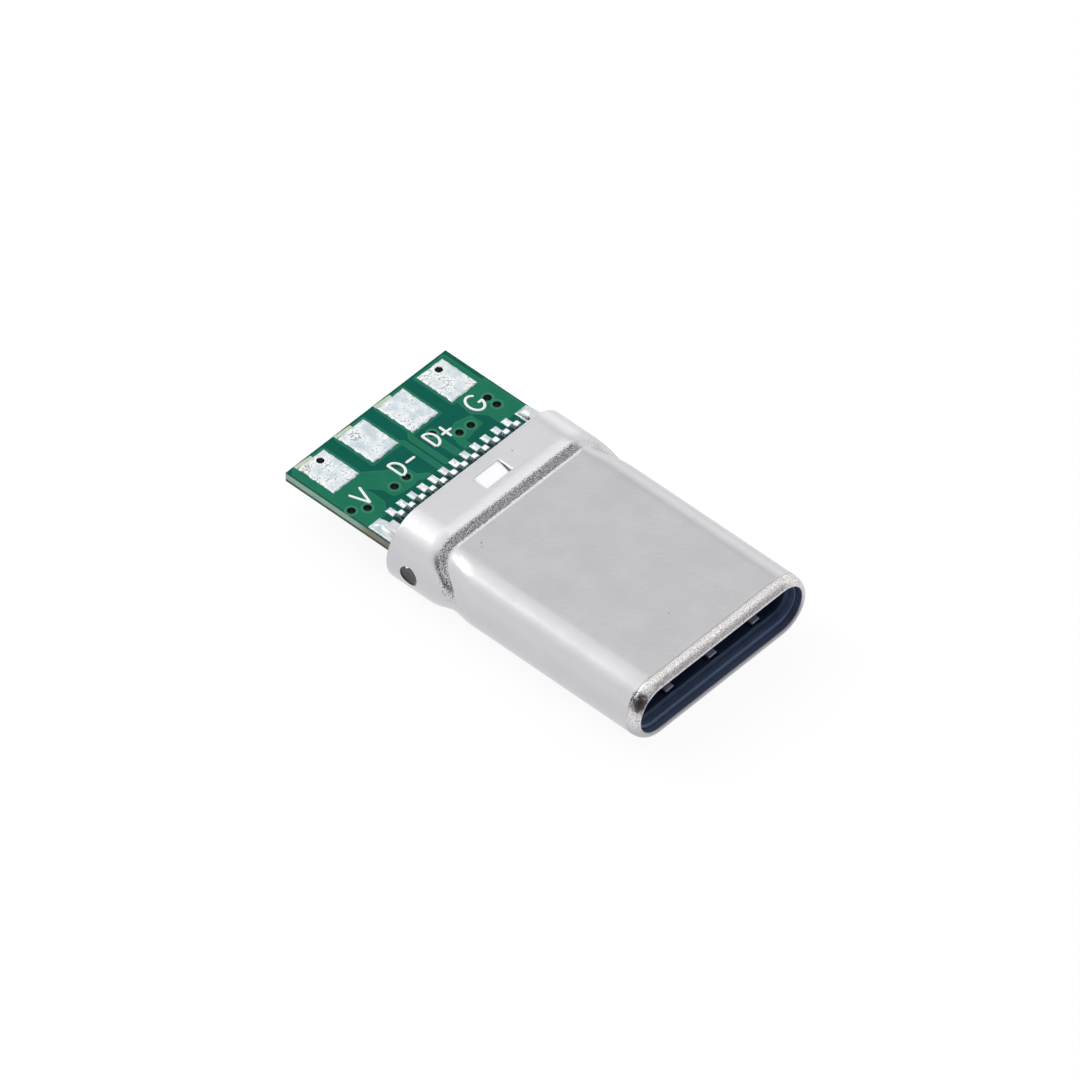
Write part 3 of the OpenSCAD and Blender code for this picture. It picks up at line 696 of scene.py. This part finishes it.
def solder_mask(wire):
    """Green lacquer, paler over copper, with a painted highlight along the copper edges and in a
    ring round each hole, and painted shade that darkens the holes.
    """
    place = place_mm(wire)
    edge = noted(wire, "copper_edge")
    drill = noted(wire, "drill_edge")
    cloud = grain(place, 1.6)
    weave = grain(place, 12.0)
    bare = mix(cloud, tint(0, 88, 74), tint(3, 102, 86))
    covered = mix(cloud, tint(22, 110, 84), tint(36, 126, 98))
    face = mix(ease(edge + 0.02*(weave - 0.5), 0.03, -0.03), bare, covered)
    # Painted highlight: a faint pale line along the copper edges and a pale ring round each hole.
    rim = ease(edge, 0.04, 0.0)*ease(edge, -0.05, -0.01)
    ring = ease(drill, 0.03, 0.07)*ease(drill, 0.13, 0.09)
    pale = mix(0.1*rim + 0.28*ring, face, tint(110, 170, 140))
    return {
        # Painted shade: the mask at the edge of each hole is painted nearly black.
        "Base Color": mix(ease(drill, 0.03, 0.01), pale, tint(1, 12, 9)),
        "Roughness": 0.36 + 0.14*(cloud - 0.5) + 0.1*(weave - 0.5),
        "Normal": bump(weave, 0.004),
    }


def cut_laminate(wire):
    """Pale glass fibre between two green coats, darker and browner near the collar, with painted
    shade that darkens the walls of the holes.
    """
    place = place_mm(wire)
    height = (along(place, "Z") - board_low[2])/(board_high[2] - board_low[2])
    fibre = grain(stretched(place, (3.0, 3.0, 26.0)), 1.0)
    core = mix(fibre, tint(96, 140, 116), tint(176, 206, 186))
    browner_core = mix(fibre, tint(96, 90, 74), tint(158, 152, 132))
    behind = along(place, "Y") - collar_back_y
    near_collar = ease(behind + 0.3*(fibre - 0.5), 1.76, 1.06)
    coat = ease(height, 0.34, 0.24) + ease(height, 0.86, 0.93)
    green = mix(near_collar, tint(6, 78, 58), tint(52, 66, 50))
    colour = mix(coat, mix(near_collar, core, browner_core), green)
    # Painted shade: the walls of the holes are painted nearly black.
    drill = noted(wire, "drill_edge")
    return {
        "Base Color": mix(ease(drill, 0.03, 0.01), colour, tint(1, 10, 8)),
        "Roughness": 0.5 + 0.3*(fibre - 0.5),
        "Normal": bump(fibre, 0.01),
    }


board.data.materials.append(surface("green_solder_mask", {"Specular IOR Level": 0.06}, solder_mask))
board.data.materials.append(surface("cut_laminate_edge", {"Specular IOR Level": 0.4}, cut_laminate))
side_index = np.zeros(len(board.data.polygons), int)
side_index[-side_count:] = 1
board.data.polygons.foreach_set("material_index", side_index)
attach(board, "root")
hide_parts("circuit_board")


# Wire pads: four large copper lands for the wires, coated in a hot-air tin bath that leaves
# the tin bright, domed and pitted. Holes through the two outer ones join both faces.
def pillow(x, y, low, high, round_mm):
    """Share of full height over a rectangle whose edges fall off over round_mm."""
    near = np.minimum.reduce([x - low[0], high[0] - x, y - low[1], high[1] - y])
    fall = np.clip(1 - near/round_mm, 0, 1)
    return np.sqrt(np.maximum(1 - fall*fall, 0))


def rumpled(x, y, per_mm, seed):
    """Smooth noise from -1 to 1 over the points of a grid."""
    flat_points = zip(x.ravel()*per_mm, y.ravel()*per_mm)
    return np.array([noise.noise(Vector((p, q, seed))) for p, q in flat_points]).reshape(x.shape)


def tin(name, pit_share, shade_y=None):
    """Tin from a hot-air bath: nearly white, with a crystalline grain and grey pits.
    In front of the given line, towards the collar, it is painted dark teal as painted shade under
    the collar and the contact legs."""
    def varying(wire):
        place = place_mm(wire)
        cloud = grain(place, 2.2)
        grit = grain(place, 13.0, 4.0)
        pits = ease(grit + 0.6*(cloud - 0.5), 0.52, 0.74)*pit_share
        colour = mix(ease(cloud, 0.3, 0.65), tint(204, 215, 222), tint(246, 249, 250))
        colour = mix(pits, colour, tint(150, 158, 163))
        if shade_y is not None:
            # Painted shade: towards the collar the tin is painted dark teal.
            under_collar_shade = ease(along(place, "Y") + 0.1*(cloud - 0.5), shade_y + 0.03, shade_y - 0.03)
            colour = mix(0.95*under_collar_shade, colour, tint(44, 78, 82))
        return {
            "Base Color": colour,
            "Roughness": 0.46 + 0.2*(cloud - 0.5) + 0.2*pits,
            "Normal": bump(grit - 0.6*pits, 0.016),
        }
    return surface(name, {"Metallic": 0.85}, varying)


bath_tin = tin("hot_air_tin", pit_share=0.8)
pad_cell, pad_edge, tin_min = 0.03, 0.07, 0.004
ruffle_share, ruffle_per_mm = 0.3, 6.0
spread_mm, spread_per_mm = 0.03, 5.0
for number, (name, (low, high)) in enumerate(zip(wire_pad_names, wire_pads)):
    columns, rows = (round((high[k] - low[k])/pad_cell) for k in (0, 1))
    x, y = cells(low, high, columns, rows)
    holes = [hole for hole in wire_holes if low[0] < hole[0] < high[0]]
    pad_keep = punched(x, y, holes)
    crown = pillow(x, y, low, high, pad_edge)
    ruffle_seed, spread_seed = number*7.3, number*3.1 + 50
    ruffle = 0.5 + 0.5*rumpled(x, y, ruffle_per_mm, ruffle_seed)
    height = (high[2] - low[2])*crown*(1 - ruffle_share*ruffle)
    spread = spread_mm*rumpled(x, y, spread_per_mm, spread_seed)*(1 - crown)
    pad_top = layer(x + spread, y + spread, low[2] + np.maximum(height, tin_min))
    pad_under = layer(x, y, low[2] - copper_t)
    pad, _, _ = sheet_mesh(name + "_tin", pad_top, pad_under, pad_keep)
    pad.data.materials.append(bath_tin)
    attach(pad, "root")
    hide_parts(name)


# Contact pads: two rows of narrow tinned lands for the contact tails. The tin stands on
# each land as a rounded cushion.
def face_sheet(name, x, y, foot, height, depth, outward=1):
    """A sheet on a face of the board that reaches height out of it and depth into it."""
    top, under = layer(x, y, foot + outward*height), layer(x, y, foot - outward*depth)
    made, _, _ = sheet_mesh(name, *((top, under) if outward > 0 else (under, top)))
    return made


# The tin of the contact lands is painted dark near the collar as painted shade.
shade_l = 0.14
row_tin = tin("row_tin", pit_share=0.6, shade_y=tail_end_y + shade_l)
land_w, land_edge, cushion, land_ruffle = 0.27, 0.008, 0.05, 0.2
for row in ("upper", "lower"):
    low, high = box_mm(row + "_contact_pads")
    outward = 1 if row == "upper" else -1
    foot = low[2] if outward > 0 else high[2]
    for name in (n for n in contact_names if n.startswith(row)):
        middle = sum(corner.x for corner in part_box(name))/2/MM
        left, right = (middle - land_w/2, low[1]), (middle + land_w/2, high[1])
        x, y = cells(left, right, columns=13, rows=48)
        ruffle = land_ruffle*rumpled(x, y, ruffle_per_mm, middle)
        crown = pillow(x, y, left, right, land_w/2)*(1 - ruffle)
        height = land_edge + cushion*crown
        land = face_sheet(name + "_land", x, y, foot, height, copper_t, outward)
        land.data.materials.append(row_tin)
        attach(land, "root")
        if name.endswith("01"):
            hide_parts(row + "_contact_pads")

# Solder of the contact tails: a bead under each tail that draws out into a hollow fillet
# where the tail ends. It is reflowed, so it is smooth and bright.
# The solder beads are painted dark near the collar as painted shade.
row_solder = tin("row_solder", pit_share=0.15, shade_y=tail_end_y + shade_l)
bead_w, bead_fall = 0.24, 0.45
for row in ("upper", "lower"):
    low, high = box_mm(row + "_solder_joints")
    outward = 1 if row == "upper" else -1
    foot = low[2] if outward > 0 else high[2]
    for name in (n for n in contact_names if n.startswith(row)):
        middle = sum(corner.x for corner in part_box(name))/2/MM
        left, right = (middle - bead_w/2, low[1]), (middle + bead_w/2, high[1])
        x, y = cells(left, right, columns=9, rows=30)
        past = np.clip((y - tail_end_y)/(high[1] - tail_end_y), 0, 1)
        across = 1 - bead_fall*np.abs((x - middle)/(bead_w/2))**3
        height = np.maximum((high[2] - low[2])*(1 - past)**2*across, tin_min)
        bead = face_sheet(name + "_bead", x, y, foot, height, 0, outward)
        bead.data.materials.append(row_solder)
        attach(bead, "root")
        if name.endswith("01"):
            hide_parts(row + "_solder_joints")

# Ground lands: a tinned land at each front corner of the board, with a flat lump of hand
# solder over the leg of the latch plate that lies on it.
hand_solder = tin("hand_solder", pit_share=0.3)
corner_edge, corner_swell, corner_ruffle = 0.08, 0.02, 0.25
lump_share, lump_ruffle, lump_min = 0.5, 0.1, 0.003
for side in ("left", "right"):
    low, high = box_mm(side + "_ground_pad")
    x, y = cells(low, high, columns=24, rows=60)
    ruffle = corner_ruffle*rumpled(x, y, per_mm=7.0, seed=4.0 + low[0])
    crown = pillow(x, y, low, high, corner_edge)*(1 - ruffle)
    height = np.maximum((high[2] - low[2] + corner_swell)*crown, tin_min)
    land = face_sheet(side + "_ground_land", x, y, low[2], height, copper_t)
    land.data.materials.append(bath_tin)
    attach(land, "root")
    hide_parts(side + "_ground_pad")
    low, high = box_mm(side + "_ground_solder")
    x, y = cells(low, high, columns=30, rows=60)
    p = 2*(x - low[0])/(high[0] - low[0]) - 1
    q = 2*(y - low[1])/(high[1] - low[1]) - 1
    dome = np.sqrt(np.maximum(1 - p**4, 0))*np.maximum(1 - q**4, 0)
    lump = dome*(lump_share + lump_ruffle*rumpled(x, y, per_mm=4.0, seed=9.0 + low[0]))
    height = np.maximum((high[2] - low[2])*lump, lump_min)
    blob = face_sheet(side + "_ground_lump", x, y, low[2], height, 0)
    blob.data.materials.append(hand_solder)
    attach(blob, "root")
    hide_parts(side + "_ground_solder")

# Pad marks: plain letters and signs for supply, data pair and ground, screen printed in
# white ink between the wire pads and the contact row.
ink_t, ink_w, ink_lift, blunt_most = 0.014, 0.095, 0.002, 0.985
ink_z = board_high[2]
letter_h, bowl_w, stem_w = 0.66, 0.27, 0.06


def bowl(centre, reach, first_deg, last_deg):
    """Points round part of an oval."""
    turns = np.radians(np.linspace(first_deg, last_deg, 17))
    return [(centre[0] + reach[0]*math.cos(a), centre[1] + reach[1]*math.sin(a)) for a in turns]


def letter_d(x, y):
    """A capital D whose foot is at x and y."""
    curve = bowl((x + stem_w, y + letter_h/2), (bowl_w, letter_h/2), 90, -90)
    return [(x, y), (x, y + letter_h), (x + stem_w, y + letter_h), *curve, (x, y)]


marks = {
    "mark_supply": [[(-3.16, 2.64), (-2.91, 1.9), (-2.66, 2.64)]],
    "mark_data_minus": [letter_d(-1.32, 1.96), [(-0.83, 2.28), (-0.41, 2.26)]],
    "mark_data_plus": [
        letter_d(0.41, 2.05), [(0.88, 2.29), (1.34, 2.27)], [(1.1, 2.6), (1.09, 2.01)],
    ],
    "mark_ground": [[*bowl((2.69, 2.48), (0.27, 0.37), 40, 345), (2.95, 2.42), (2.76, 2.42)]],
}


def even_line(points, spacing=0.02):
    """The same line with points at an even spacing."""
    points = np.array(points)
    lengths = np.concatenate([[0], np.cumsum(np.hypot(*np.diff(points, axis=0).T))])
    at = np.linspace(0, lengths[-1], max(int(lengths[-1]/spacing), 6))
    return np.stack([np.interp(at, lengths, points[:, k]) for k in (0, 1)], -1)


def white_ink(wire):
    """Opaque white ink with the faint grain of the screen."""
    place = place_mm(wire)
    cloud = grain(place, 8.0)
    return {
        "Base Color": mix(cloud, tint(244, 249, 247), tint(255, 255, 255)),
        "Roughness": 0.5 + 0.2*(cloud - 0.5),
        "Normal": bump(cloud, 0.004),
    }


ink = surface("white_screen_ink", {"Specular IOR Level": 0.4}, white_ink)
for name, strokes in marks.items():
    for number, stroke in enumerate(strokes):
        line = even_line(stroke) + [0, collar_back_y]
        way = np.gradient(line, axis=0)
        way /= np.hypot(way[:, 0], way[:, 1])[:, None]
        side = np.stack([way[:, 1], -way[:, 0]], -1)
        run = np.concatenate([[0], np.cumsum(np.hypot(*np.diff(line, axis=0).T))])
        near_end = np.minimum(run, run[-1] - run)
        blunt = np.clip(1 - near_end/(ink_w/2), 0, blunt_most)
        half = ink_w/2*np.sqrt(1 - blunt**2)
        across = np.linspace(-1, 1, 7)
        x = line[:, None, 0] + half[:, None]*across*side[:, None, 0]
        y = line[:, None, 1] + half[:, None]*across*side[:, None, 1]
        height = ink_lift + ink_t*(1 - across**4)
        print_mark = face_sheet(f"{name}_{number + 1}", x, y, ink_z, height, copper_t)
        print_mark.data.materials.append(ink)
        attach(print_mark, "root")


# Bare strips: between the wire pads and the rear edge the mask is left open, and the pale
# laminate shows beside the tin.
def bare_laminate(wire):
    """Resin and glass without mask, in pale green and cream."""
    place = place_mm(wire)
    cloud = grain(place, 6.0)
    return {
        "Base Color": mix(cloud, tint(150, 190, 160), tint(232, 234, 214)),
        "Roughness": 0.5 + 0.2*(cloud - 0.5),
        "Normal": bump(cloud, 0.006),
    }


strip_w, strip_slant, strip_gap = 0.74, 0.06, 0.015
strip_start, strip_lift = 0.02, 0.003
pale_laminate = surface("bare_laminate", {"Specular IOR Level": 0.4}, bare_laminate)
for number, (low, high) in enumerate(wire_pads[:3]):
    front_left = (low[0] - strip_start, high[1] + strip_gap)
    rear_right = (low[0] - strip_start + strip_w, back_y - 2*strip_gap)
    x, y = cells(front_left, rear_right, columns=30, rows=8)
    y = np.minimum(y - strip_slant*(x - low[0]), back_y - strip_gap)
    top = layer(x, y, board_high[2] + strip_lift)
    strip, _, _ = sheet_mesh(f"bare_strip_{number + 1}", top, top - [0, 0, copper_t])
    strip.data.materials.append(pale_laminate)
    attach(strip, "root")

# Chip resistor: a black glazed ceramic chip with wrapped tin ends, soldered to two small
# lands on the underside of the board.
chip_low, chip_high = box_mm("resistor")
chip_cap, cap_fade = 0.22, 0.01


def chip_finish(wire):
    """Black glaze between two tinned caps."""
    place = place_mm(wire)
    x = along(place, "X")
    left_cap, right_cap = chip_low[0] + chip_cap, chip_high[0] - chip_cap
    cap = ease(x, left_cap + cap_fade, left_cap - cap_fade)
    cap = cap + ease(x, right_cap - cap_fade, right_cap + cap_fade)
    cloud = grain(place, 9.0)
    glaze = mix(cloud, tint(16, 16, 18), tint(34, 34, 36))
    return {
        "Base Color": mix(cap, glaze, tint(226, 228, 230)),
        "Roughness": 0.3 + 0.15*cap + 0.15*(cloud - 0.5),
        "Metallic": 0.9*cap,
        "Normal": bump(cloud, 0.006),
    }


glazed_chip = surface("glazed_chip", {"Specular IOR Level": 0.5}, chip_finish)
dress(["resistor"], glazed_chip, edge_mm=0.03)
dress(["resistor_pads"], bath_tin, edge_mm=0.008)

# Stage: a plain pale floor, a soft lamp above and behind the part, and a long lens at the
# angle of the picture. The room is bright overhead and at the sides, and darker in front.
azimuth, elevation = math.radians(-47.04), math.radians(46.41)
to_camera = Vector((
    math.sin(azimuth)*math.cos(elevation),
    -math.cos(azimuth)*math.cos(elevation),
    math.sin(elevation)))
floor_half, floor_drop = 300.0*MM, 0.002*MM
floor_z = float(cad_low.z) - floor_drop
ends = [(-1, -1), (1, -1), (1, 1), (-1, 1)]
floor_corners = [(p*floor_half, q*floor_half, floor_z) for p, q in ends]
floor_mesh = bpy.data.meshes.new("floor")
floor_mesh.from_pydata(floor_corners, [], [(0, 1, 2, 3)])
floor = bpy.data.objects.new("floor", floor_mesh)
bpy.context.scene.collection.objects.link(floor)
floor_paint = bpy.data.materials.new("pale_floor")
floor_paint.use_nodes = True
floor_tree = floor_paint.node_tree
wire = Wire(floor_tree)
camera_ray, glossy_ray, clear_ray = (
    wire.node("ShaderNodeLightPath", output=name)
    for name in ("Is Camera Ray", "Is Glossy Ray", "Is Transmission Ray"))
seen = camera_ray.math("MAXIMUM", camera_ray.math("MAXIMUM", camera_ray, glossy_ray), clear_ray)
lit_white, seen_white = (0.9, 0.9, 0.9, 1), (1.05, 1.05, 1.05, 1)
mirrored_white, glow_share = (0.98, 0.98, 1.0, 1), 0.85
diffuse = wire.node("ShaderNodeBsdfDiffuse", None, {"Color": lit_white})
glow_colour = mix(glossy_ray, seen_white, mirrored_white)
glow = wire.node("ShaderNodeEmission", None, {"Color": glow_colour, "Strength": 1.0})
mixed = wire.node("ShaderNodeMixShader", None, {0: glow_share*seen, 1: diffuse, 2: glow})
floor_tree.links.new(mixed.socket, floor_tree.nodes["Material Output"].inputs["Surface"])
floor_mesh.materials.append(floor_paint)

world = bpy.data.worlds.new("studio")
world.use_nodes = True
bpy.context.scene.world = world
wire = Wire(world.node_tree)
toward = wire.node("ShaderNodeTexCoord", output="Generated")
east, north, up = (along(toward, axis) for axis in "XYZ")
screen_way = Vector((-0.76, -0.16, 0.62)).normalized()
settings, sockets = {"operation": "DOT_PRODUCT"}, {0: toward, 1: screen_way}
screen_side = wire.node("ShaderNodeVectorMath", settings, sockets, output="Value")
overhead = ease(up, 0.72, 0.85)*(1 - 0.5*ease(east, 0.5, 0.3))
west_wall = (0.3 + 0.2*ease(up, 0.5, 0.85))*ease(east, 0.1, -0.4)
side_walls = west_wall + 0.45*ease(east, 0.6, 0.85)
bright = overhead.math("MAXIMUM", overhead, side_walls)
front_room = ease(north, -0.02, -0.2)*ease(east, -0.98, -0.88)*ease(east, 0.6, 0.525)
screen = ease(screen_side, 0.88, 0.96)
front_level = 0.15 + 0.26*ease(east, 0.46, 0.2) + 0.35*ease(up, 0.4, 0.7)*ease(east, 0.35, 0.1)
plain_level, bright_gain, screen_level = 0.77, 0.75, 0.05
level = (plain_level + bright_gain*bright)*(1 - front_room) + front_level*front_room
level = level*(1 - screen) + screen_level*screen
sky = wire.node("ShaderNodeCombineXYZ", None, {0: level, 1: level, 2: level})
world.node_tree.links.new(sky.socket, world.node_tree.nodes["Background"].inputs["Color"])

lamp = bpy.data.lights.new("soft_box", "AREA")
lamp.shape = "RECTANGLE"
lamp.size = lamp.size_y = 80*MM
lamp.energy = 0.045
soft_box = bpy.data.objects.new("soft_box", lamp)
soft_box.location = Vector((-20, 110, 90))*MM
soft_box.rotation_mode = "QUATERNION"
soft_box.rotation_quaternion = (-soft_box.location).to_track_quat("-Z", "Y")
bpy.context.scene.collection.objects.link(soft_box)

frame_mm, distance_mm = 35.0, 600.0
aim = Vector((-0.713, -0.525, 2.368))*MM
lens = bpy.data.cameras.new("camera")
lens.sensor_width = 36.0
lens.lens = lens.sensor_width*distance_mm/frame_mm
lens.clip_start, lens.clip_end = 0.01, 10.0
camera = bpy.data.objects.new("camera", lens)
camera.location = aim + to_camera*distance_mm*MM
camera.rotation_mode = "QUATERNION"
camera.rotation_quaternion = (-to_camera).to_track_quat("-Z", "Y")
bpy.context.scene.collection.objects.link(camera)
bpy.context.scene.camera = camera
bpy.context.scene.view_settings.view_transform = "Standard"
